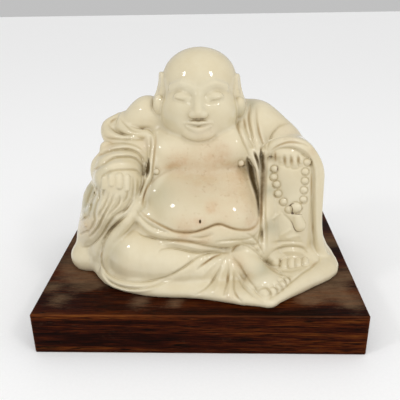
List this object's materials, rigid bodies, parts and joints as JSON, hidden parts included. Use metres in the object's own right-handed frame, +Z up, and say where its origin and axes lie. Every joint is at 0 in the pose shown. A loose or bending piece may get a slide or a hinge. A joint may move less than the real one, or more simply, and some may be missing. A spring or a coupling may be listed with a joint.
{
  "type": "budai figure",
  "caption": "Seated Budai figure in ivory-glazed porcelain, leaning on a raised knee with a sack at the other side, on a plain rectangular hardwood plinth.",
  "frame": {"origin": "centre of the plinth's underside", "axes": "+Z up, -Y the figure's front, +X to the right of someone who faces the figure"},
  "size_m": [0.25, 0.195, 0.2118],
  "materials": {
    "hardwood": "dark rosewood, polished and worn, with dusty scuffs on top",
    "porcelain": "ivory-white glazed porcelain, glossy, with brown dirt in the creases"
  },
  "bodies": {
    "root": {"wooden_plinth": "hardwood", "budai_figure": "porcelain"}
  },
  "joints": []
}
